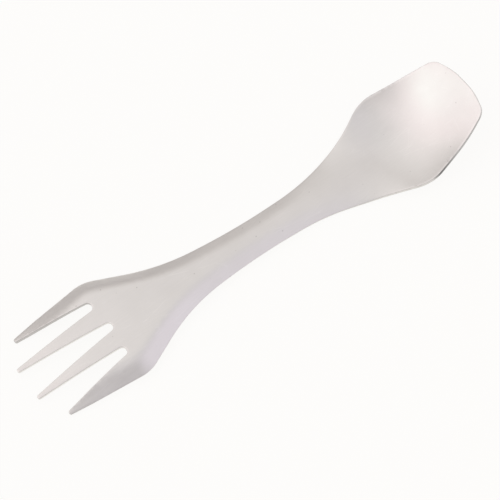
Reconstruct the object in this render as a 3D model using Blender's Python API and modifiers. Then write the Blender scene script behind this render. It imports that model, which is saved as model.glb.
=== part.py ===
"""Double-ended spork, pressed from one sheet: a four-tine fork, a waisted handle and a spoon.

Half of the blank is drawn in plan, filled, pressed to height, mirrored and thickened.
Metres, +Z up. +X runs from the fork to the spoon, and stations along it start at the foremost tine tips.
The spork lies on z = 0 as it lies on a table: the fork humps upwards, and the spoon is open to the top.
"""

import math

import bpy
import numpy as np
from mathutils import Matrix, Vector
from mathutils.geometry import delaunay_2d_cdt

MM = 0.001

# Whole part
LENGTH = 170.0 * MM
SHEET = 1.0 * MM
EDGE_BREAK = 0.15 * MM

# Spoon in plan. A setback is measured from the lip, a half width from the centre line.
LIP_CROWN_HALF_WIDTH = 4.9 * MM
LIP_CROWN_RADIUS = 24.5 * MM
LIP_CORNER_SETBACK = 1.9 * MM
LIP_CORNER_HALF_WIDTH = 12.45 * MM
LIP_CORNER_RADIUS = 4.5 * MM
BOWL_SIDE_SETBACK = 10.2 * MM
BOWL_SIDE_HALF_WIDTH = 15.4 * MM
BOWL_SIDE_RADIUS = 67.0 * MM
BOWL_ELBOW_SETBACK = 27.3 * MM
BOWL_ELBOW_HALF_WIDTH = 19.05 * MM
BOWL_ELBOW_RADIUS = 13.0 * MM
SHOULDER_SETBACK = 40.3 * MM
SHOULDER_HALF_WIDTH = 12.65 * MM
SHOULDER_RADIUS = 80.0 * MM

# Handle in plan
SPOON_NECK_SETBACK = 60.2 * MM
SPOON_NECK_HALF_WIDTH = 6.9 * MM
SPOON_NECK_RADIUS = 90.0 * MM
WAIST_STATION = 82.4 * MM
WAIST_HALF_WIDTH = 6.05 * MM
WAIST_RADIUS = 230.0 * MM
FORK_NECK_STATION = 55.1 * MM
FORK_NECK_HALF_WIDTH = 8.5 * MM
FORK_NECK_RADIUS = 69.0 * MM

# Fork in plan
FORK_ELBOW_STATION = 32.7 * MM
FORK_ELBOW_HALF_WIDTH = 19.0 * MM
FORK_ELBOW_RADIUS = 12.0 * MM
TINE_BEND_STATION = 12.8 * MM
TINE_BEND_HALF_WIDTH = 16.9 * MM
TINE_BEND_RADIUS = 59.0 * MM
TINE_TIP_WIDTH = 1.25 * MM
OUTER_TINE_STATION = 5.0 * MM
OUTER_TINE_OFFSET = 15.15 * MM
INNER_TINE_OFFSET = 5.55 * MM
SLOT_ROOT_WIDTH = 2.9 * MM
SIDE_SLOT_STATION = 30.2 * MM
SIDE_SLOT_OFFSET = 9.3 * MM
MIDDLE_SLOT_STATION = 31.5 * MM

# Side view: the centre line's height, and the outer edge's height, before the spork is laid down
TIP_HEIGHT = -0.2 * MM
CROWN_STATION = 29.5 * MM
CROWN_HEIGHT = 3.2 * MM
CROWN_RADIUS = 235.0 * MM
BELLY_SETBACK = 21.1 * MM
BELLY_HEIGHT = -4.7 * MM
BELLY_RADIUS = 38.5 * MM
LIP_HEIGHT = 10.6 * MM
EDGE_TIP_HEIGHT = -1.6 * MM
EDGE_CROWN_STATION = 48.1 * MM
EDGE_CROWN_HEIGHT = 0.0 * MM
EDGE_CROWN_RADIUS = 490.0 * MM
EDGE_SADDLE_SETBACK = 43.4 * MM
EDGE_SADDLE_HEIGHT = -4.2 * MM
EDGE_SADDLE_RADIUS = 56.5 * MM
EDGE_RISE_SETBACK = 11.3 * MM
EDGE_RISE_HEIGHT = 4.3 * MM
EDGE_RISE_RADIUS = 50.0 * MM

# Flanks folded down along the fork and the handle, and where they give way to the dished spoon
TINE_FLANK_WIDTH = 5.5 * MM
HANDLE_FLANK_WIDTH = 4.1 * MM
TINE_FOLD_SOFTNESS = 2.2 * MM
HANDLE_FOLD_SOFTNESS = 1.5 * MM
FLANK_NARROWING_START = 16.0 * MM
FLANK_NARROWING_END = 48.2 * MM
DISH_START_SETBACK = 77.1 * MM
DISH_END_SETBACK = 50.5 * MM

# Fineness of the pressed sheet
CELL = 2.4 * MM
OUTLINE_STEP = 1.6 * MM
SIDE_LINE_STEP = 1.0 * MM
ARC_STEP = math.radians(24)
MERGE = 0.01 * MM

SATIN_STEEL = (0.75, 0.72, 0.685, 1.0)
SATIN_ROUGHNESS = 0.38

COLLECTION = "double_ended_spork"
BODY = "spork_body"


def clear_scene():
    """Remove every object, so that the file holds only this model."""
    for item in list(bpy.data.objects):
        bpy.data.objects.remove(item, do_unlink=True)


def rounded(corners, step):
    """Line through (x, y, radius) corners, each one rounded as far as its two sides have room."""
    points = [Vector(corners[0][:2])]
    for before, corner, after in zip(corners, corners[1:], corners[2:]):
        apex = Vector(corner[:2])
        back = Vector(before[:2]) - apex
        ahead = Vector(after[:2]) - apex
        half_angle = back.angle(ahead) / 2
        back_room = back.length / 2 if before[2] else back.length
        ahead_room = ahead.length / 2 if after[2] else ahead.length
        reach = min(corner[2] / math.tan(half_angle), back_room, ahead_room)
        radius = reach * math.tan(half_angle)
        bisector = back.normalized() + ahead.normalized()
        centre = apex + bisector.normalized() * radius / math.sin(half_angle)
        turn = math.copysign(math.pi - 2 * half_angle, -back.cross(ahead))
        pieces = math.ceil(max(abs(turn) * radius / step, abs(turn) / ARC_STEP))
        spoke = apex + back.normalized() * reach - centre
        for i in range(pieces + 1):
            points.append(centre + Matrix.Rotation(turn * i / pieces, 2) @ spoke)
    points.append(Vector(corners[-1][:2]))
    return points


def divided(line, step):
    """The line with its long straights cut into even pieces no longer than a step, as an array."""
    points = [np.array([line[0]])]
    for start, end in zip(line, line[1:]):
        pieces = max(1, math.ceil((end - start).length / step))
        points.append(np.linspace(start, end, pieces + 1)[1:])
    return np.vstack(points)


def outer_corners():
    """Corners of the free edge from the middle of the lip, along one side, to an outer tine's tip."""
    return [
        (LENGTH, 0, 0),
        (LENGTH, LIP_CROWN_HALF_WIDTH, LIP_CROWN_RADIUS),
        (LENGTH - LIP_CORNER_SETBACK, LIP_CORNER_HALF_WIDTH, LIP_CORNER_RADIUS),
        (LENGTH - BOWL_SIDE_SETBACK, BOWL_SIDE_HALF_WIDTH, BOWL_SIDE_RADIUS),
        (LENGTH - BOWL_ELBOW_SETBACK, BOWL_ELBOW_HALF_WIDTH, BOWL_ELBOW_RADIUS),
        (LENGTH - SHOULDER_SETBACK, SHOULDER_HALF_WIDTH, SHOULDER_RADIUS),
        (LENGTH - SPOON_NECK_SETBACK, SPOON_NECK_HALF_WIDTH, SPOON_NECK_RADIUS),
        (WAIST_STATION, WAIST_HALF_WIDTH, WAIST_RADIUS),
        (FORK_NECK_STATION, FORK_NECK_HALF_WIDTH, FORK_NECK_RADIUS),
        (FORK_ELBOW_STATION, FORK_ELBOW_HALF_WIDTH, FORK_ELBOW_RADIUS),
        (TINE_BEND_STATION, TINE_BEND_HALF_WIDTH, TINE_BEND_RADIUS),
        (OUTER_TINE_STATION, OUTER_TINE_OFFSET + TINE_TIP_WIDTH / 2, TINE_TIP_WIDTH / 2),
    ]


def tine_corners():
    """Corners from an outer tine's tip, round a side slot and an inner tine, to the middle slot's root."""
    tip = TINE_TIP_WIDTH / 2
    root = SLOT_ROOT_WIDTH / 2
    return [
        (OUTER_TINE_STATION, OUTER_TINE_OFFSET - tip, tip),
        (SIDE_SLOT_STATION, SIDE_SLOT_OFFSET + root, root),
        (SIDE_SLOT_STATION, SIDE_SLOT_OFFSET - root, root),
        (0, INNER_TINE_OFFSET + tip, tip),
        (0, INNER_TINE_OFFSET - tip, tip),
        (MIDDLE_SLOT_STATION, root, root),
        (MIDDLE_SLOT_STATION, 0, 0),
    ]


def side_line(corners):
    """Stations and heights of a line in side view, as two arrays."""
    return np.array([tuple(point) for point in rounded(corners, SIDE_LINE_STEP)]).T


def centre_height(station):
    """Height of the pressed sheet along its centre line."""
    line = side_line(
        [
            (0, TIP_HEIGHT, 0),
            (CROWN_STATION, CROWN_HEIGHT, CROWN_RADIUS),
            (LENGTH - BELLY_SETBACK, BELLY_HEIGHT, BELLY_RADIUS),
            (LENGTH, LIP_HEIGHT, 0),
        ]
    )
    return np.interp(station, *line)


def edge_height(station):
    """Height of the pressed sheet along its outer edge."""
    line = side_line(
        [
            (0, EDGE_TIP_HEIGHT, 0),
            (EDGE_CROWN_STATION, EDGE_CROWN_HEIGHT, EDGE_CROWN_RADIUS),
            (LENGTH - EDGE_SADDLE_SETBACK, EDGE_SADDLE_HEIGHT, EDGE_SADDLE_RADIUS),
            (LENGTH - EDGE_RISE_SETBACK, EDGE_RISE_HEIGHT, EDGE_RISE_RADIUS),
            (LENGTH, LIP_HEIGHT, 0),
        ]
    )
    return np.interp(station, *line)


def ease(value, start, end):
    """Smooth change from 0 at start to 1 at end."""
    share = np.clip((value - start) / (end - start), 0, 1)
    return share * share * (3 - 2 * share)


def distance_to(line, points):
    """Shortest distance from each point to a line of many short straights."""
    starts = line[:-1]
    runs = line[1:] - starts
    offsets = points[:, None, :] - starts
    along = np.clip((offsets * runs).sum(2) / (runs * runs).sum(1), 0, 1)
    return np.linalg.norm(offsets - along[..., None] * runs, axis=2).min(1)


def flank_width(station):
    """Width of the folded flank, which narrows from the tines to the handle."""
    narrowing = ease(station, FLANK_NARROWING_START, FLANK_NARROWING_END)
    return TINE_FLANK_WIDTH + (HANDLE_FLANK_WIDTH - TINE_FLANK_WIDTH) * narrowing


def fold_softness(station):
    """How far the rounding of the fold reaches to either side, which lessens as the flank narrows."""
    narrowing = ease(station, FLANK_NARROWING_START, FLANK_NARROWING_END)
    return TINE_FOLD_SOFTNESS + (HANDLE_FOLD_SOFTNESS - TINE_FOLD_SOFTNESS) * narrowing


def fold_share(inset, width, softness):
    """1 at the edge, falling straight to 0 where the flank ends, with the fold there rounded."""
    soft = np.minimum(softness, width / 2)
    beyond = inset - width
    rounded_fold = (soft - beyond) ** 2 / (4 * soft)
    fall = np.where(beyond < -soft, -beyond, np.where(beyond > soft, 0, rounded_fold))
    return fall / width


def pressed_height(points, edge):
    """Height of the sheet's upper face over each plan point."""
    station, offset = points.T
    half_width = np.interp(np.minimum(station, LENGTH - LIP_CORNER_RADIUS), *edge[::-1].T)
    dish = (offset / half_width) ** 2
    flank = fold_share(distance_to(edge, points), flank_width(station), fold_softness(station))
    dishing = ease(station, LENGTH - DISH_START_SETBACK, LENGTH - DISH_END_SETBACK)
    section = flank + (dish - flank) * dishing
    centre = centre_height(station)
    return centre + (edge_height(station) - centre) * section


def inside(loop, points):
    """Whether each point lies within a closed loop."""
    ahead = np.roll(loop, -1, axis=0)
    x, y = points[:, 0, None], points[:, 1, None]
    rise = ahead[:, 1] - loop[:, 1]
    crosses = (loop[:, 1] > y) != (ahead[:, 1] > y)
    crossing = loop[:, 0] + (y - loop[:, 1]) / np.where(rise == 0, 1, rise) * (ahead[:, 0] - loop[:, 0])
    return (crosses & (x < crossing)).sum(1) % 2 == 1


def clear_of(points, line, gap):
    """The points that keep a gap to a line."""
    return points[distance_to(line, points) > gap]


def fold_rows(edge, loop):
    """Points in rows along the middle and both borders of each flank's fold, following the outer edge."""
    run = np.gradient(edge, axis=0)
    inward = np.column_stack([-run[:, 1], run[:, 0]]) / np.linalg.norm(run, axis=1)[:, None]
    width = flank_width(edge[:, 0])[:, None]
    softness = fold_softness(edge[:, 0])[:, None]
    rows = []
    for inset in (width - softness, width, width + softness):
        row = edge + inward * inset
        flanked = (row[:, 0] < LENGTH - DISH_END_SETBACK) & (row[:, 1] > CELL / 2)
        rows.append(clear_of(row[flanked & inside(loop, row)], loop, CELL / 2))
    return np.vstack(rows)


def thinned(points, gap):
    """The points without those nearer than a gap to one that is kept."""
    kept = []
    for point in points:
        if not kept or np.linalg.norm(np.array(kept) - point, axis=1).min() > gap:
            kept.append(point)
    return np.array(kept)


def inner_points(edge, loop):
    """Points inside the half blank: the rows along the fold, then a staggered grid in the rest."""
    row_step = CELL * math.sqrt(3) / 2
    grid = [
        (i * CELL + (j % 2) * CELL / 2, j * row_step)
        for j in range(1, math.ceil(loop[:, 1].max() / row_step))
        for i in range(math.ceil(LENGTH / CELL))
    ]
    grid = np.array(grid)
    grid = grid[inside(loop, grid)]
    candidates = np.vstack([fold_rows(edge, loop), clear_of(grid, loop, CELL / 2)])
    return thinned(candidates, CELL * 0.6)


def pressed_half():
    """Vertices and triangles of half the sheet's upper face, from the centre line outwards."""
    free_edge = divided(rounded(outer_corners(), OUTLINE_STEP), CELL)
    outline = divided(rounded(outer_corners() + tine_corners(), OUTLINE_STEP), CELL)
    spine_count = round((LENGTH - MIDDLE_SLOT_STATION) / CELL)
    spine = np.linspace(MIDDLE_SLOT_STATION, LENGTH, spine_count, endpoint=False)[1:]
    loop = np.vstack([outline, np.column_stack([spine, np.zeros(len(spine))])])
    plan = np.vstack([loop, inner_points(free_edge, loop)])
    border = list(range(len(loop)))
    filled = delaunay_2d_cdt([Vector(point) for point in plan], [], [border], 1, MERGE)
    plan = np.array([tuple(point) for point in filled[0]])
    heights = pressed_height(plan, free_edge)
    return np.column_stack([plan, heights]), filled[2]


def satin_steel():
    """Bead-blasted bare metal."""
    material = bpy.data.materials.new("satin_steel")
    material.use_nodes = True
    shader = material.node_tree.nodes["Principled BSDF"]
    shader.inputs["Base Color"].default_value = SATIN_STEEL
    shader.inputs["Metallic"].default_value = 1.0
    shader.inputs["Roughness"].default_value = SATIN_ROUGHNESS
    return material


def make_body(collection):
    """The whole spork: the pressed half, mirrored, given its thickness, and its edges broken."""
    vertices, faces = pressed_half()
    mesh = bpy.data.meshes.new(BODY)
    mesh.from_pydata(vertices.tolist(), [], faces)
    mesh.materials.append(satin_steel())
    body = bpy.data.objects.new(BODY, mesh)
    collection.objects.link(body)

    mirror = body.modifiers.new("other_half", "MIRROR")
    mirror.use_axis = (False, True, False)
    mirror.merge_threshold = MERGE

    solidify = body.modifiers.new("sheet_thickness", "SOLIDIFY")
    solidify.thickness = SHEET
    solidify.offset = -1
    solidify.use_even_offset = True

    bevel = body.modifiers.new("broken_edges", "BEVEL")
    bevel.width = EDGE_BREAK
    bevel.segments = 1
    bevel.limit_method = "ANGLE"
    bevel.angle_limit = math.radians(50)
    bevel.use_clamp_overlap = False
    return body


def evaluated_points(body):
    """World coordinates of the body's surface as its modifiers leave it."""
    graph = bpy.context.evaluated_depsgraph_get()
    graph.update()
    shape = body.evaluated_get(graph)
    mesh = shape.to_mesh()
    flat = np.empty(len(mesh.vertices) * 3)
    mesh.vertices.foreach_get("co", flat)
    matrix = np.array(shape.matrix_world)
    shape.to_mesh_clear()
    return flat.reshape(-1, 3) @ matrix[:3, :3].T + matrix[:3, 3]


def lay_on_table(body):
    """Tilt the spork until tines and belly are level with each other, then centre it on z = 0."""
    for _ in range(4):
        points = evaluated_points(body)
        middle = (points[:, 0].min() + points[:, 0].max()) / 2
        fork = points[points[:, 0] < middle]
        spoon = points[points[:, 0] > middle]
        reach = spoon[spoon[:, 2].argmin()] - fork[fork[:, 2].argmin()]
        body.rotation_euler.y += math.atan2(reach[2], reach[0])
    points = evaluated_points(body)
    low, high = points.min(0), points.max(0)
    body.location -= Vector(((low[0] + high[0]) / 2, (low[1] + high[1]) / 2, low[2]))


def main():
    clear_scene()
    collection = bpy.data.collections.new(COLLECTION)
    bpy.context.scene.collection.children.link(collection)
    lay_on_table(make_body(collection))


main()
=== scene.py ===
"""Looks of the double-ended spork: the pressed sheet in satin metal, a pale floor and soft studio light.

Metres: +X runs from the fork to the spoon, +Z is up, and the spork lies on z = 0.
Stations start at the foremost tine tips, and setbacks are measured back from the spoon's lip.
"""

import math

import bpy
import numpy as np
from mathutils import Matrix, Vector
from mathutils.geometry import delaunay_2d_cdt


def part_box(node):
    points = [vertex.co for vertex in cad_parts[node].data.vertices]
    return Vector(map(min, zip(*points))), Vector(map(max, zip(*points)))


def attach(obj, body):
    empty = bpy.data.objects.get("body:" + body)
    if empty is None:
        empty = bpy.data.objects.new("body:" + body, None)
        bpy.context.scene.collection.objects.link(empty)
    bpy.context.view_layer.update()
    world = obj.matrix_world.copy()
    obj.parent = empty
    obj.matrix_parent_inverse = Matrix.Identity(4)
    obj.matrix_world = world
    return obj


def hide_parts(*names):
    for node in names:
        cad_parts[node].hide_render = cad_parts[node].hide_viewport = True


MM = 0.001
METRES = (1, 1, 1)

# Whole sheet. Edges that turn by more than the sharp angle are rounded.
LENGTH = 170.0 * MM
SHEET = 1.0 * MM
EDGE_ROUND = 0.14 * MM
EDGE_SEGMENTS = 3
SHARP_ANGLE = math.radians(50)

# Spoon in plan
LIP_CROWN_HALF_WIDTH = 4.9 * MM
LIP_CROWN_RADIUS = 24.5 * MM
LIP_CORNER_SETBACK = 1.9 * MM
LIP_CORNER_HALF_WIDTH = 12.45 * MM
LIP_CORNER_RADIUS = 4.5 * MM
BOWL_SIDE_SETBACK = 10.2 * MM
BOWL_SIDE_HALF_WIDTH = 15.4 * MM
BOWL_SIDE_RADIUS = 67.0 * MM
BOWL_ELBOW_SETBACK = 27.3 * MM
BOWL_ELBOW_HALF_WIDTH = 19.05 * MM
BOWL_ELBOW_RADIUS = 13.0 * MM
SHOULDER_SETBACK = 40.3 * MM
SHOULDER_HALF_WIDTH = 12.65 * MM
SHOULDER_RADIUS = 80.0 * MM

# Handle in plan
SPOON_NECK_SETBACK = 60.2 * MM
SPOON_NECK_HALF_WIDTH = 6.9 * MM
SPOON_NECK_RADIUS = 90.0 * MM
WAIST_STATION = 82.4 * MM
WAIST_HALF_WIDTH = 6.05 * MM
WAIST_RADIUS = 230.0 * MM
FORK_NECK_STATION = 55.1 * MM
FORK_NECK_HALF_WIDTH = 8.5 * MM
FORK_NECK_RADIUS = 69.0 * MM

# Fork in plan
FORK_ELBOW_STATION = 32.7 * MM
FORK_ELBOW_HALF_WIDTH = 19.0 * MM
FORK_ELBOW_RADIUS = 12.0 * MM
TINE_BEND_STATION = 12.8 * MM
TINE_BEND_HALF_WIDTH = 16.9 * MM
TINE_BEND_RADIUS = 59.0 * MM
TINE_TIP_WIDTH = 1.25 * MM
OUTER_TINE_STATION = 5.0 * MM
OUTER_TINE_OFFSET = 15.15 * MM
INNER_TINE_OFFSET = 5.55 * MM
SLOT_ROOT_WIDTH = 2.9 * MM
SIDE_SLOT_STATION = 30.2 * MM
SIDE_SLOT_OFFSET = 9.3 * MM
MIDDLE_SLOT_STATION = 31.5 * MM

# Side view: heights of the centre line and of the outer edge
TIP_HEIGHT = -0.2 * MM
CROWN_STATION = 29.5 * MM
CROWN_HEIGHT = 3.2 * MM
CROWN_RADIUS = 235.0 * MM
BELLY_SETBACK = 21.1 * MM
BELLY_HEIGHT = -4.7 * MM
BELLY_RADIUS = 38.5 * MM
LIP_HEIGHT = 10.6 * MM
EDGE_TIP_HEIGHT = -1.6 * MM
EDGE_CROWN_STATION = 48.1 * MM
EDGE_CROWN_HEIGHT = 0.0 * MM
EDGE_CROWN_RADIUS = 490.0 * MM
EDGE_SADDLE_SETBACK = 43.4 * MM
EDGE_SADDLE_HEIGHT = -4.2 * MM
EDGE_SADDLE_RADIUS = 56.5 * MM
EDGE_RISE_SETBACK = 11.3 * MM
EDGE_RISE_HEIGHT = 4.3 * MM
EDGE_RISE_RADIUS = 50.0 * MM

# Flanks and dish
TINE_FLANK_WIDTH = 5.5 * MM
HANDLE_FLANK_WIDTH = 4.1 * MM
TINE_FOLD_SOFTNESS = 2.2 * MM
HANDLE_FOLD_SOFTNESS = 1.5 * MM
FLANK_NARROWING_START = 16.0 * MM
FLANK_NARROWING_END = 48.2 * MM
DISH_START_SETBACK = 77.1 * MM
DISH_END_SETBACK = 50.5 * MM

# Fineness of the modelled surface. The shares are of a cell: the gap that inner points keep to the outline
# and to each other, and how much nearer to the edge than its row a point may lie.
CELL = 0.8 * MM
OUTLINE_STEP = 0.5 * MM
SIDE_LINE_STEP = 0.2 * MM
ARC_STEP = math.radians(9)
MERGE = 0.001 * MM
OUTLINE_GAP_SHARE = 0.6
POINT_GAP_SHARE = 0.7
ROW_STRAY_SHARE = 0.02
POINTS_PER_BATCH = 1000
RECENT_POINTS = 400
LEVELLING_ROUNDS = 4

# Noise. The shares are the parts of its range over which a tone, or a roughness, goes from low to high.
PLAIN_DETAIL = 2.0
TONE_SHARES = (0.35, 0.65)
ROUGHNESS_SHARES = (0.3, 0.7)

# Blasted faces. A size is the width of one blotch, streak or grain, and a depth is how far it stands out.
METAL_PALE = (0.765, 0.735, 0.7)
METAL_DEEP = (0.735, 0.705, 0.67)
BLOTCH_SIZE = 7.0 * MM
BLOTCH_DETAIL = 3.0
BLOTCH_SHARE = 0.5
STREAK_SIZE = 0.5 * MM
STREAK_STRETCH = 14
STREAK_SHARE = 0.5
BLAST_ROUGHNESS_LOW = 0.35
BLAST_ROUGHNESS_HIGH = 0.41
RIPPLE_SIZE = 9.0 * MM
RIPPLE_DETAIL = 1.0
RIPPLE_DEPTH = 0.02 * MM
GRAIN_SIZE = 0.3 * MM
GRAIN_DEPTH = 0.0018 * MM

# Wear: pits left by the blasting, hairline scratches, and edges rubbed slightly brighter and smoother.
# A pit or a scratch comes in from its start share of the noise and is whole at its full share.
PIT_SPACING = 3.2 * MM
PIT_RADIUS = 0.3 * MM
PIT_START_SHARE = 0.5
PIT_FULL_SHARE = 0.55
PIT_COLOUR = (0.6, 0.57, 0.54)
PIT_DEPTH = 0.006 * MM
SCRATCH_SPACING = 7.0 * MM
SCRATCH_STRETCH = 9
SCRATCH_WIDTH = 0.06 * MM
SCRATCH_TURNS = (math.radians(8), math.radians(-14))
SCRATCH_START_SHARE = 0.5
SCRATCH_FULL_SHARE = 0.6
SCRATCH_COLOUR = (0.785, 0.755, 0.72)
RUBBED_COLOUR = (0.755, 0.725, 0.692)
RUBBED_ROUGHNESS = 0.35
RUBBED_WIDTH = 0.9 * MM
RUB_SIZE = 3.0 * MM

# Sheared edge of the sheet, with fine lines through its thickness. Painted shade darkens it along the
# bowl's sides, up to the lip's corners, and most on a short stretch just ahead of the bowl's elbows. On the
# fork, painted shade darkens the outer tines' walls in the side slots, and a painted highlight makes the
# inner tines' edges paler.
CUT_PALE = (0.8, 0.775, 0.74)
CUT_DEEP = (0.7, 0.675, 0.65)
SIDE_CUT_PAINTED_SHADE = (0.52, 0.505, 0.49)
SIDE_CUT_FADE_START = 4.0 * MM
SIDE_CUT_FADE_END = 1.5 * MM
DARK_CUT_PAINTED_SHADE = (0.2, 0.193, 0.187)
DARK_CUT_START = 0.3 * MM
DARK_CUT_RISE = 3.5 * MM
DARK_CUT_FADE = 8.0 * MM
INNER_TINE_PAINTED_HIGHLIGHT = (0.82, 0.79, 0.755)
OUTER_SLOT_PAINTED_SHADE = (0.58, 0.56, 0.54)
SLOT_CUT_FADE = 0.4 * MM
CUT_ROUGHNESS_LOW = 0.3
CUT_ROUGHNESS_HIGH = 0.42
SHEAR_SIZE = 0.1 * MM
SHEAR_LENGTH = 1.5 * MM
SHEAR_LINE_SHARE = 0.4
SHEAR_BLOTCH_SHARE = 0.6
SHEAR_DEPTH = 0.004 * MM

# Camera at the photograph's viewing angle. The focal length is in pixels of the 500-pixel frame.
IMAGE_PIXELS = 500
FOCAL_PIXELS = 1904
SENSOR_WIDTH = 36.0
CAMERA_AZIMUTH = math.radians(-36.69)
CAMERA_ELEVATION = math.radians(60.6)
CAMERA_DISTANCE = 603.3 * MM
CAMERA_RIGHT_SHIFT = -0.84 * MM
CAMERA_UP_SHIFT = -2.62 * MM

# Table and light. The tent's darker foot fades out upwards, up to an elevation in degrees. Each soft light
# is an azimuth, clockwise from where the camera looks, an elevation, and the angles from its middle at
# which it starts to fade and ends, all in degrees, then the colour that it adds to the tent's.
FLOOR_HALF_WIDTH = 4.0
FLOOR_COLOUR = (0.9, 0.9, 0.89)
FLOOR_WHITE = (1.0, 0.991, 0.975)
FLOOR_WHITE_SHARE = 0.92
TENT_COLOUR = (0.49, 0.49, 0.49)
TENT_FOOT_COLOUR = (0.21, 0.18, 0.21)
TENT_FOOT_TOP = 17.0
SOFT_LIGHTS = [
    (-114, 37, 11, 55, (0.6, 0.491, 0.525)),
    (88, 35, 4, 53, (0.519, 0.489, 0.596)),
    (-65, 66, 32, 47, (0.282, 0.294, 0.307)),
    (-19, 31, 36, 51, (0.226, 0.205, 0.202)),
    (-120, 34, 11, 19, (0.396, 0.701, 0.64)),
]


def rounded(corners, step):
    """Line through (x, y, radius) corners, each one rounded as far as its two sides have room."""
    points = [Vector(corners[0][:2])]
    for before, corner, after in zip(corners, corners[1:], corners[2:]):
        apex = Vector(corner[:2])
        back = Vector(before[:2]) - apex
        ahead = Vector(after[:2]) - apex
        half_angle = back.angle(ahead) / 2
        back_room = back.length / 2 if before[2] else back.length
        ahead_room = ahead.length / 2 if after[2] else ahead.length
        reach = min(corner[2] / math.tan(half_angle), back_room, ahead_room)
        radius = reach * math.tan(half_angle)
        bisector = back.normalized() + ahead.normalized()
        centre = apex + bisector.normalized() * radius / math.sin(half_angle)
        turn = math.copysign(math.pi - 2 * half_angle, -back.cross(ahead))
        pieces = math.ceil(max(abs(turn) * radius / step, abs(turn) / ARC_STEP))
        spoke = apex + back.normalized() * reach - centre
        for i in range(pieces + 1):
            points.append(centre + Matrix.Rotation(turn * i / pieces, 2) @ spoke)
    points.append(Vector(corners[-1][:2]))
    return np.array([tuple(point) for point in points])


def divided(line, step):
    """The line with its long straights cut into even pieces no longer than a step."""
    points = [line[:1]]
    for start, end in zip(line, line[1:]):
        pieces = max(1, math.ceil(np.linalg.norm(end - start) / step))
        points.append(np.linspace(start, end, pieces + 1)[1:])
    return np.vstack(points)


def outer_corners():
    """Corners of the free edge from the middle of the lip, along one side, to an outer tine's tip."""
    return [
        (LENGTH, 0, 0),
        (LENGTH, LIP_CROWN_HALF_WIDTH, LIP_CROWN_RADIUS),
        (LENGTH - LIP_CORNER_SETBACK, LIP_CORNER_HALF_WIDTH, LIP_CORNER_RADIUS),
        (LENGTH - BOWL_SIDE_SETBACK, BOWL_SIDE_HALF_WIDTH, BOWL_SIDE_RADIUS),
        (LENGTH - BOWL_ELBOW_SETBACK, BOWL_ELBOW_HALF_WIDTH, BOWL_ELBOW_RADIUS),
        (LENGTH - SHOULDER_SETBACK, SHOULDER_HALF_WIDTH, SHOULDER_RADIUS),
        (LENGTH - SPOON_NECK_SETBACK, SPOON_NECK_HALF_WIDTH, SPOON_NECK_RADIUS),
        (WAIST_STATION, WAIST_HALF_WIDTH, WAIST_RADIUS),
        (FORK_NECK_STATION, FORK_NECK_HALF_WIDTH, FORK_NECK_RADIUS),
        (FORK_ELBOW_STATION, FORK_ELBOW_HALF_WIDTH, FORK_ELBOW_RADIUS),
        (TINE_BEND_STATION, TINE_BEND_HALF_WIDTH, TINE_BEND_RADIUS),
        (OUTER_TINE_STATION, OUTER_TINE_OFFSET + TINE_TIP_WIDTH / 2, TINE_TIP_WIDTH / 2),
    ]


def tine_corners():
    """Corners from an outer tine's tip, round a side slot and an inner tine, to the middle slot's root."""
    tip = TINE_TIP_WIDTH / 2
    root = SLOT_ROOT_WIDTH / 2
    return [
        (OUTER_TINE_STATION, OUTER_TINE_OFFSET - tip, tip),
        (SIDE_SLOT_STATION, SIDE_SLOT_OFFSET + root, root),
        (SIDE_SLOT_STATION, SIDE_SLOT_OFFSET - root, root),
        (0, INNER_TINE_OFFSET + tip, tip),
        (0, INNER_TINE_OFFSET - tip, tip),
        (MIDDLE_SLOT_STATION, root, root),
        (MIDDLE_SLOT_STATION, 0, 0),
    ]


def centre_height(station):
    """Height of the pressed sheet along its centre line."""
    corners = [
        (0, TIP_HEIGHT, 0),
        (CROWN_STATION, CROWN_HEIGHT, CROWN_RADIUS),
        (LENGTH - BELLY_SETBACK, BELLY_HEIGHT, BELLY_RADIUS),
        (LENGTH, LIP_HEIGHT, 0),
    ]
    return np.interp(station, *rounded(corners, SIDE_LINE_STEP).T)


def edge_height(station):
    """Height of the pressed sheet along its outer edge."""
    corners = [
        (0, EDGE_TIP_HEIGHT, 0),
        (EDGE_CROWN_STATION, EDGE_CROWN_HEIGHT, EDGE_CROWN_RADIUS),
        (LENGTH - EDGE_SADDLE_SETBACK, EDGE_SADDLE_HEIGHT, EDGE_SADDLE_RADIUS),
        (LENGTH - EDGE_RISE_SETBACK, EDGE_RISE_HEIGHT, EDGE_RISE_RADIUS),
        (LENGTH, LIP_HEIGHT, 0),
    ]
    return np.interp(station, *rounded(corners, SIDE_LINE_STEP).T)


def ease(value, start, end):
    """Smooth change from 0 at start to 1 at end."""
    share = np.clip((value - start) / (end - start), 0, 1)
    return share * share * (3 - 2 * share)


def distance_to(line, points):
    """Shortest distance from each point to a line of many short straights."""
    starts = line[:-1]
    runs = line[1:] - starts
    squares = (runs * runs).sum(1)
    nearest = []
    for batch in np.array_split(points, math.ceil(len(points) / POINTS_PER_BATCH)):
        offsets = batch[:, None, :] - starts
        along = np.clip((offsets * runs).sum(2) / squares, 0, 1)
        nearest.append(np.linalg.norm(offsets - along[..., None] * runs, axis=2).min(1))
    return np.concatenate(nearest)


def flank_width(station):
    """Width of the folded flank, which narrows from the tines to the handle."""
    narrowing = ease(station, FLANK_NARROWING_START, FLANK_NARROWING_END)
    return TINE_FLANK_WIDTH + (HANDLE_FLANK_WIDTH - TINE_FLANK_WIDTH) * narrowing


def fold_softness(station):
    """How far the rounding of the fold reaches to either side, which lessens as the flank narrows."""
    narrowing = ease(station, FLANK_NARROWING_START, FLANK_NARROWING_END)
    return TINE_FOLD_SOFTNESS + (HANDLE_FOLD_SOFTNESS - TINE_FOLD_SOFTNESS) * narrowing


def fold_share(inset, width, softness):
    """1 at the edge, falling straight to 0 where the flank ends, with the fold there rounded."""
    soft = np.minimum(softness, width / 2)
    beyond = inset - width
    rounded_fold = (soft - beyond) ** 2 / (4 * soft)
    fall = np.where(beyond < -soft, -beyond, np.where(beyond > soft, 0, rounded_fold))
    return fall / width


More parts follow.
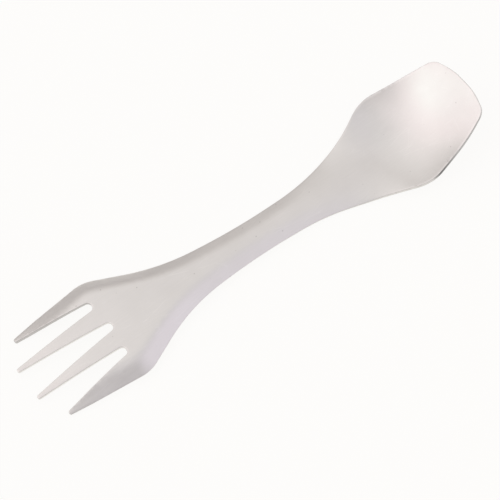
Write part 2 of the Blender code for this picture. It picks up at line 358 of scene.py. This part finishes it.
def pressed_height(points, edge):
    """Height of the sheet's upper face over each plan point."""
    station, offset = points.T
    half_width = np.interp(np.minimum(station, LENGTH - LIP_CORNER_RADIUS), *edge[::-1].T)
    dish = (offset / half_width) ** 2
    flank = fold_share(distance_to(edge, points), flank_width(station), fold_softness(station))
    dishing = ease(station, LENGTH - DISH_START_SETBACK, LENGTH - DISH_END_SETBACK)
    section = flank + (dish - flank) * dishing
    centre = centre_height(station)
    return centre + (edge_height(station) - centre) * section


def inside(loop, points):
    """Whether each point lies within a closed loop."""
    ahead = np.roll(loop, -1, axis=0)
    x, y = points[:, 0, None], points[:, 1, None]
    rise = ahead[:, 1] - loop[:, 1]
    crosses = (loop[:, 1] > y) != (ahead[:, 1] > y)
    crossing = loop[:, 0] + (y - loop[:, 1]) / np.where(rise == 0, 1, rise) * (ahead[:, 0] - loop[:, 0])
    return (crosses & (x < crossing)).sum(1) % 2 == 1


def edge_rows(edge, loop):
    """Points in rows that follow the outer edge, across the flank and its fold."""
    run = np.gradient(edge, axis=0)
    inward = np.column_stack([-run[:, 1], run[:, 0]]) / np.linalg.norm(run, axis=1)[:, None]
    count = math.ceil((TINE_FLANK_WIDTH + 2 * TINE_FOLD_SOFTNESS) / CELL)
    rows = []
    for i in range(1, count + 1):
        inset = i * CELL
        row = edge + inward * inset
        row = row[inside(loop, row) & (row[:, 1] > CELL / 2)]
        row = row[distance_to(loop, row) > CELL * OUTLINE_GAP_SHARE]
        rows.append(row[distance_to(edge, row) > inset - CELL * ROW_STRAY_SHARE])
    return np.vstack(rows)


def thinned(points, gap):
    """The points without those nearer than a gap to one that is kept."""
    kept = np.empty((0, 2))
    room = []
    for point in points:
        near = kept[np.abs(kept[:, 0] - point[0]) < gap] if len(kept) else kept
        recent = np.array(room) if room else np.empty((0, 2))
        others = np.vstack([near, recent])
        if not len(others) or np.linalg.norm(others - point, axis=1).min() > gap:
            room.append(point)
        if len(room) > RECENT_POINTS:
            kept = np.vstack([kept, room])
            room = []
    return np.vstack([kept, room]) if room else kept


def inner_points(edge, loop):
    """Points inside the half blank: rows along the outer edge, then a staggered grid in the rest."""
    row_step = CELL * math.sqrt(3) / 2
    grid = [
        (i * CELL + (j % 2) * CELL / 2, j * row_step)
        for j in range(1, math.ceil(loop[:, 1].max() / row_step))
        for i in range(math.ceil(LENGTH / CELL))
    ]
    grid = np.array(grid)
    grid = grid[inside(loop, grid)]
    grid = grid[distance_to(loop, grid) > CELL * OUTLINE_GAP_SHARE]
    return thinned(np.vstack([edge_rows(edge, loop), grid]), CELL * POINT_GAP_SHARE)


def pressed_half():
    """Half the sheet's upper face: its vertices, its triangles, and how near each vertex is to an edge."""
    free_edge = divided(rounded(outer_corners(), OUTLINE_STEP), CELL)
    outline = divided(rounded(outer_corners() + tine_corners(), OUTLINE_STEP), CELL)
    spine_count = round((LENGTH - MIDDLE_SLOT_STATION) / CELL)
    spine = np.linspace(MIDDLE_SLOT_STATION, LENGTH, spine_count, endpoint=False)[1:]
    loop = np.vstack([outline, np.column_stack([spine, np.zeros(len(spine))])])
    plan = np.vstack([loop, inner_points(free_edge, loop)])
    border = list(range(len(loop)))
    filled = delaunay_2d_cdt([Vector(point) for point in plan], [], [border], 1, MERGE)
    plan = np.array([tuple(point) for point in filled[0]])
    heights = pressed_height(plan, free_edge)
    near_edge = 1 - ease(distance_to(outline, plan), 0, RUBBED_WIDTH)
    return np.column_stack([plan, heights]), filled[2], near_edge


def feed(tree, value, socket):
    """Link an output to the socket, or set the socket to a plain value."""
    if isinstance(value, bpy.types.NodeSocket):
        tree.links.new(value, socket)
    else:
        socket.default_value = value


def add_node(tree, kind, inputs, **settings):
    """New shader node. Each input is a plain value or the output that feeds it."""
    node = tree.nodes.new(kind)
    for name, value in settings.items():
        setattr(node, name, value)
    for name, value in inputs.items():
        feed(tree, value, node.inputs[name])
    return node


def sum_of(tree, value, factor, addend):
    """The value times a factor, plus an addend."""
    node = tree.nodes.new("ShaderNodeMath")
    node.operation = "MULTIPLY_ADD"
    for socket, term in zip(node.inputs, (value, factor, addend)):
        feed(tree, term, socket)
    return node.outputs[0]


def ranged(tree, value, low, high, start=0.0, end=1.0):
    """The value's course from low to high, made one from start to end and held beyond."""
    inputs = {"Value": value, "From Min": low, "From Max": high, "To Min": start, "To Max": end}
    return add_node(tree, "ShaderNodeMapRange", inputs).outputs["Result"]


def mixed(tree, share, first, second):
    """Colour that goes from the first to the second with the share."""
    node = tree.nodes.new("ShaderNodeMix")
    node.data_type = "RGBA"
    feed(tree, share, node.inputs[0])
    for colour, socket in ((first, node.inputs[6]), (second, node.inputs[7])):
        feed(tree, (*colour, 1) if isinstance(colour, tuple) else colour, socket)
    return node.outputs[2]


def place(tree, lengths, turn=0.0):
    """Coordinates on the piece, turned about the vertical and counted in lengths along each axis."""
    where = tree.nodes.new("ShaderNodeTexCoord").outputs["Object"]
    turned = add_node(tree, "ShaderNodeMapping", {"Vector": where, "Rotation": (0, 0, turn)})
    scale = tuple(1 / length for length in lengths)
    return add_node(tree, "ShaderNodeMapping", {"Vector": turned.outputs[0], "Scale": scale}).outputs[0]


def noise(tree, lengths, detail=PLAIN_DETAIL):
    """Noise from 0 to 1 whose blotches have these lengths along the three axes."""
    inputs = {"Vector": place(tree, lengths), "Scale": 1.0, "Detail": detail}
    return add_node(tree, "ShaderNodeTexNoise", inputs).outputs["Fac"]


def pits(tree):
    """1 in the middle of a few small round pits, 0 elsewhere."""
    spacing = (PIT_SPACING,) * 3
    cells = add_node(tree, "ShaderNodeTexVoronoi", {"Vector": place(tree, spacing), "Scale": 1.0})
    radius = PIT_RADIUS / PIT_SPACING
    dots = ranged(tree, cells.outputs["Distance"], radius / 2, radius, 1.0, 0.0)
    chosen = ranged(tree, cells.outputs["Color"], PIT_START_SHARE, PIT_FULL_SHARE)
    return sum_of(tree, dots, chosen, 0.0)


def scratches(tree):
    """1 on thin broken lines that run mostly along the handle, 0 elsewhere."""
    lines = 0.0
    for turn in SCRATCH_TURNS:
        lengths = (SCRATCH_SPACING * SCRATCH_STRETCH, SCRATCH_SPACING, SCRATCH_SPACING)
        inputs = {"Vector": place(tree, lengths, turn), "Scale": 1.0}
        cells = add_node(tree, "ShaderNodeTexVoronoi", inputs, feature="DISTANCE_TO_EDGE")
        width = SCRATCH_WIDTH / SCRATCH_SPACING
        line = ranged(tree, cells.outputs["Distance"], width / 2, width, 1.0, 0.0)
        gaps = ranged(tree, noise(tree, (BLOTCH_SIZE,) * 3), SCRATCH_START_SHARE, SCRATCH_FULL_SHARE)
        lines = sum_of(tree, line, gaps, lines)
    return lines


def band(tree, value, start, full, fading, end):
    """0 before the start, 1 between full and fading, and 0 again after the end."""
    rise = ranged(tree, value, start, full)
    fall = ranged(tree, value, fading, end, 1.0, 0.0)
    return sum_of(tree, rise, fall, 0.0)


def metal(name):
    """New bare metal and its Principled shader."""
    material = bpy.data.materials.new(name)
    material.use_nodes = True
    shader = material.node_tree.nodes["Principled BSDF"]
    shader.inputs["Metallic"].default_value = 1.0
    return material, shader


def satin_metal():
    """Bead-blasted faces: blotches, rolling streaks, fine grain, a few pits and scratches, rubbed edges."""
    material, shader = metal("satin_metal")
    tree = material.node_tree
    blotches = noise(tree, (BLOTCH_SIZE,) * 3, BLOTCH_DETAIL)
    streaks = noise(tree, (STREAK_SIZE * STREAK_STRETCH, STREAK_SIZE, STREAK_SIZE))
    grain = noise(tree, (GRAIN_SIZE,) * 3)
    ripple = noise(tree, (RIPPLE_SIZE,) * 3, RIPPLE_DETAIL)
    pitted = pits(tree)
    scratched = scratches(tree)
    near_edge = add_node(tree, "ShaderNodeAttribute", {}, attribute_name="near_edge").outputs["Fac"]
    patches = ranged(tree, noise(tree, (RUB_SIZE,) * 3), *TONE_SHARES)
    rubbed = sum_of(tree, near_edge, patches, 0.0)

    mottle = sum_of(tree, blotches, BLOTCH_SHARE, sum_of(tree, streaks, STREAK_SHARE, 0.0))
    tone = ranged(tree, mottle, *TONE_SHARES)
    colour = mixed(tree, tone, METAL_DEEP, METAL_PALE)
    colour = mixed(tree, rubbed, colour, RUBBED_COLOUR)
    colour = mixed(tree, scratched, colour, SCRATCH_COLOUR)
    colour = mixed(tree, pitted, colour, PIT_COLOUR)
    feed(tree, colour, shader.inputs["Base Color"])

    roughness = ranged(tree, streaks, *ROUGHNESS_SHARES, BLAST_ROUGHNESS_LOW, BLAST_ROUGHNESS_HIGH)
    smoothing = RUBBED_ROUGHNESS - (BLAST_ROUGHNESS_LOW + BLAST_ROUGHNESS_HIGH) / 2
    roughness = sum_of(tree, rubbed, smoothing, roughness)
    feed(tree, roughness, shader.inputs["Roughness"])

    height = sum_of(tree, grain, GRAIN_DEPTH, 0.0)
    height = sum_of(tree, ripple, RIPPLE_DEPTH, height)
    height = sum_of(tree, pitted, -PIT_DEPTH, height)
    bump = add_node(tree, "ShaderNodeBump", {"Height": height, "Distance": 1.0})
    feed(tree, bump.outputs["Normal"], shader.inputs["Normal"])
    return material


def cut_metal():
    """Sheared edge of the sheet, with fine lines through its thickness, and painted shade and highlight by
    place.
    """
    material, shader = metal("cut_metal")
    tree = material.node_tree
    lines = noise(tree, (SHEAR_SIZE, SHEAR_SIZE, SHEAR_LENGTH))
    blotches = noise(tree, (RUB_SIZE,) * 3)
    mottle = sum_of(tree, lines, SHEAR_LINE_SHARE, sum_of(tree, blotches, SHEAR_BLOTCH_SHARE, 0.0))
    tone = ranged(tree, mottle, *TONE_SHARES)
    colour = mixed(tree, tone, CUT_DEEP, CUT_PALE)
    where = add_node(tree, "ShaderNodeSeparateXYZ", {0: place(tree, METRES)})
    station = where.outputs["X"]
    offset = add_node(tree, "ShaderNodeMath", {0: where.outputs["Y"]}, operation="ABSOLUTE").outputs[0]

    # Painted shade: the edge darker along the bowl's sides, and darkest just ahead of the bowl's elbows.
    lip = LENGTH / 2
    start = lip - BOWL_ELBOW_SETBACK + DARK_CUT_START
    full = start + DARK_CUT_RISE
    painted_side_shade = band(tree, station, start, full, lip - SIDE_CUT_FADE_START, lip - SIDE_CUT_FADE_END)
    colour = mixed(tree, painted_side_shade, colour, SIDE_CUT_PAINTED_SHADE)
    painted_dark_shade = band(tree, station, start, full, full, full + DARK_CUT_FADE)
    colour = mixed(tree, painted_dark_shade, colour, DARK_CUT_PAINTED_SHADE)

    # Painted highlight on the inner tines' edges, and painted shade on the outer tines' walls in the side
    # slots.
    root = MIDDLE_SLOT_STATION - LENGTH / 2
    fork = ranged(tree, station, root, root + SLOT_CUT_FADE, 1.0, 0.0)
    beyond = SIDE_SLOT_OFFSET + SLOT_CUT_FADE
    inner = ranged(tree, offset, SIDE_SLOT_OFFSET, beyond, 1.0, 0.0)
    colour = mixed(tree, sum_of(tree, fork, inner, 0.0), colour, INNER_TINE_PAINTED_HIGHLIGHT)
    past_tine = OUTER_TINE_OFFSET + SLOT_CUT_FADE
    outer = band(tree, offset, SIDE_SLOT_OFFSET, beyond, OUTER_TINE_OFFSET, past_tine)
    colour = mixed(tree, sum_of(tree, fork, outer, 0.0), colour, OUTER_SLOT_PAINTED_SHADE)
    feed(tree, colour, shader.inputs["Base Color"])
    roughness = ranged(tree, lines, *ROUGHNESS_SHARES, CUT_ROUGHNESS_LOW, CUT_ROUGHNESS_HIGH)
    feed(tree, roughness, shader.inputs["Roughness"])
    height = sum_of(tree, lines, SHEAR_DEPTH, 0.0)
    bump = add_node(tree, "ShaderNodeBump", {"Height": height, "Distance": 1.0})
    feed(tree, bump.outputs["Normal"], shader.inputs["Normal"])
    return material


def evaluated_points(piece):
    """World coordinates of a piece's surface as its modifiers leave it."""
    graph = bpy.context.evaluated_depsgraph_get()
    graph.update()
    shape = piece.evaluated_get(graph)
    mesh = shape.to_mesh()
    flat = np.empty(len(mesh.vertices) * 3)
    mesh.vertices.foreach_get("co", flat)
    matrix = np.array(shape.matrix_world)
    shape.to_mesh_clear()
    return flat.reshape(-1, 3) @ matrix[:3, :3].T + matrix[:3, 3]


def lay_in_frame(piece, low, high):
    """Tilt the sheet until its tines and its belly are level, then centre it in the solid's box."""
    for _ in range(LEVELLING_ROUNDS):
        points = evaluated_points(piece)
        middle = (points[:, 0].min() + points[:, 0].max()) / 2
        fork = points[points[:, 0] < middle]
        spoon = points[points[:, 0] > middle]
        reach = spoon[spoon[:, 2].argmin()] - fork[fork[:, 2].argmin()]
        piece.data.transform(Matrix.Rotation(math.atan2(reach[2], reach[0]), 4, "Y"))
    points = evaluated_points(piece)
    now_low, now_high = points.min(0), points.max(0)
    centre = (low + high) / 2
    shift = centre - (Vector(now_low) + Vector(now_high)) / 2
    shift.z = low.z - now_low[2]
    piece.data.transform(Matrix.Translation(shift))


def spork_sheet():
    """The whole spork: the pressed half, mirrored, given its thickness, and its edges rounded."""
    vertices, faces, near_edge = pressed_half()
    mesh = bpy.data.meshes.new("spork_sheet")
    mesh.from_pydata(vertices.tolist(), [], faces)
    mesh.attributes.new("near_edge", "FLOAT", "POINT").data.foreach_set("value", near_edge)
    mesh.shade_smooth()
    mesh.materials.append(satin_metal())
    mesh.materials.append(cut_metal())
    piece = bpy.data.objects.new("spork_sheet", mesh)
    bpy.context.scene.collection.objects.link(piece)

    mirror = piece.modifiers.new("other_half", "MIRROR")
    mirror.use_axis = (False, True, False)
    mirror.merge_threshold = MERGE

    solidify = piece.modifiers.new("sheet_thickness", "SOLIDIFY")
    solidify.thickness = SHEET
    solidify.offset = -1
    solidify.use_even_offset = True
    solidify.material_offset_rim = 1

    bevel = piece.modifiers.new("tumbled_edges", "BEVEL")
    bevel.width = EDGE_ROUND
    bevel.segments = EDGE_SEGMENTS
    bevel.limit_method = "ANGLE"
    bevel.angle_limit = SHARP_ANGLE
    bevel.use_clamp_overlap = False
    bevel.face_strength_mode = "FSTR_ALL"

    shading = piece.modifiers.new("even_shading", "WEIGHTED_NORMAL")
    shading.use_face_influence = True
    return piece


def seen_directly(tree):
    """1 for rays from the camera or passed on by metal or glass, 0 for the light on a surface."""
    path = tree.nodes.new("ShaderNodeLightPath").outputs
    seen = path["Is Camera Ray"]
    for name in ("Is Glossy Ray", "Is Transmission Ray"):
        seen = add_node(tree, "ShaderNodeMath", {0: seen, 1: path[name]}, operation="MAXIMUM").outputs[0]
    return seen


def pale_floor():
    """Plain white table that keeps a soft shadow."""
    half = FLOOR_HALF_WIDTH
    mesh = bpy.data.meshes.new("floor")
    corners = [(-half, -half, 0), (half, -half, 0), (half, half, 0), (-half, half, 0)]
    mesh.from_pydata(corners, [], [(0, 1, 2, 3)])
    material = bpy.data.materials.new("white_table")
    material.use_nodes = True
    tree = material.node_tree
    tree.nodes.clear()
    matt = add_node(tree, "ShaderNodeBsdfDiffuse", {"Color": (*FLOOR_COLOUR, 1)})
    white = add_node(tree, "ShaderNodeEmission", {"Color": (*FLOOR_WHITE, 1)})
    inputs = {0: seen_directly(tree), 1: FLOOR_WHITE_SHARE}
    share = add_node(tree, "ShaderNodeMath", inputs, operation="MULTIPLY")
    inputs = {0: share.outputs[0], 1: matt.outputs[0], 2: white.outputs[0]}
    mix = add_node(tree, "ShaderNodeMixShader", inputs)
    add_node(tree, "ShaderNodeOutputMaterial", {"Surface": mix.outputs[0]})
    mesh.materials.append(material)
    floor = bpy.data.objects.new("floor", mesh)
    bpy.context.scene.collection.objects.link(floor)
    return floor


def direction(azimuth, elevation):
    """Unit vector for an azimuth, clockwise from where the camera looks, and an elevation, in degrees."""
    turn = math.radians(azimuth) - CAMERA_AZIMUTH
    rise = math.radians(elevation)
    return Vector((math.sin(turn) * math.cos(rise), math.cos(turn) * math.cos(rise), math.sin(rise)))


def nearness(tree, towards, outer, inner):
    """1 in the sky within the inner angle of a direction, fading to 0 at the outer angle, in degrees."""
    where = tree.nodes.new("ShaderNodeTexCoord").outputs["Generated"]
    dot = add_node(tree, "ShaderNodeVectorMath", {0: where, 1: towards}, operation="DOT_PRODUCT")
    low, high = math.cos(math.radians(outer)), math.cos(math.radians(inner))
    inputs = {"Value": dot.outputs["Value"], "From Min": low, "From Max": high}
    return add_node(tree, "ShaderNodeMapRange", inputs, interpolation_type="SMOOTHSTEP").outputs["Result"]


def studio_dome():
    """Evenly lit tent with soft, wide lights in it, standing on a darker foot."""
    world = bpy.data.worlds.new("studio")
    world.use_nodes = True
    tree = world.node_tree
    light = TENT_COLOUR
    for azimuth, elevation, inner, outer, colour in SOFT_LIGHTS:
        inputs = {0: colour, 1: nearness(tree, direction(azimuth, elevation), outer, inner), 2: light}
        light = add_node(tree, "ShaderNodeVectorMath", inputs, operation="MULTIPLY_ADD").outputs["Vector"]
    above_foot = nearness(tree, Vector((0, 0, 1)), 90, 90 - TENT_FOOT_TOP)
    light = mixed(tree, above_foot, TENT_FOOT_COLOUR, light)
    tree.links.new(light, tree.nodes["Background"].inputs["Color"])
    bpy.context.scene.world = world


def photo_camera():
    """Camera where the photograph was taken from."""
    plan = Vector((math.sin(CAMERA_AZIMUTH), -math.cos(CAMERA_AZIMUTH), 0)) * math.cos(CAMERA_ELEVATION)
    back = plan + Vector((0, 0, math.sin(CAMERA_ELEVATION)))
    data = bpy.data.cameras.new("camera")
    data.sensor_width = SENSOR_WIDTH
    data.lens = FOCAL_PIXELS / IMAGE_PIXELS * SENSOR_WIDTH
    camera = bpy.data.objects.new("camera", data)
    camera.rotation_mode = "QUATERNION"
    camera.rotation_quaternion = (-back).to_track_quat("-Z", "Y")
    right = camera.rotation_quaternion @ Vector((1, 0, 0))
    up = camera.rotation_quaternion @ Vector((0, 1, 0))
    camera.location = back * CAMERA_DISTANCE + right * CAMERA_RIGHT_SHIFT + up * CAMERA_UP_SHIFT
    bpy.context.scene.collection.objects.link(camera)
    bpy.context.scene.camera = camera


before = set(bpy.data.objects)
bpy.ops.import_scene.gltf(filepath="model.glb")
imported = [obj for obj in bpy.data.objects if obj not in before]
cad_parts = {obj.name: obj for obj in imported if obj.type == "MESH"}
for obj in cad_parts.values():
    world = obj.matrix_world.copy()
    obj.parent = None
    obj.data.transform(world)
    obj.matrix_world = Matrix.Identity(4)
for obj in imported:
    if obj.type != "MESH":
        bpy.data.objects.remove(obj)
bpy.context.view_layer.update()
sheet = spork_sheet()
lay_in_frame(sheet, *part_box("spork_body"))
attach(sheet, "root")
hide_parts("spork_body")
pale_floor()
studio_dome()
photo_camera()
bpy.context.scene.view_settings.view_transform = "Standard"
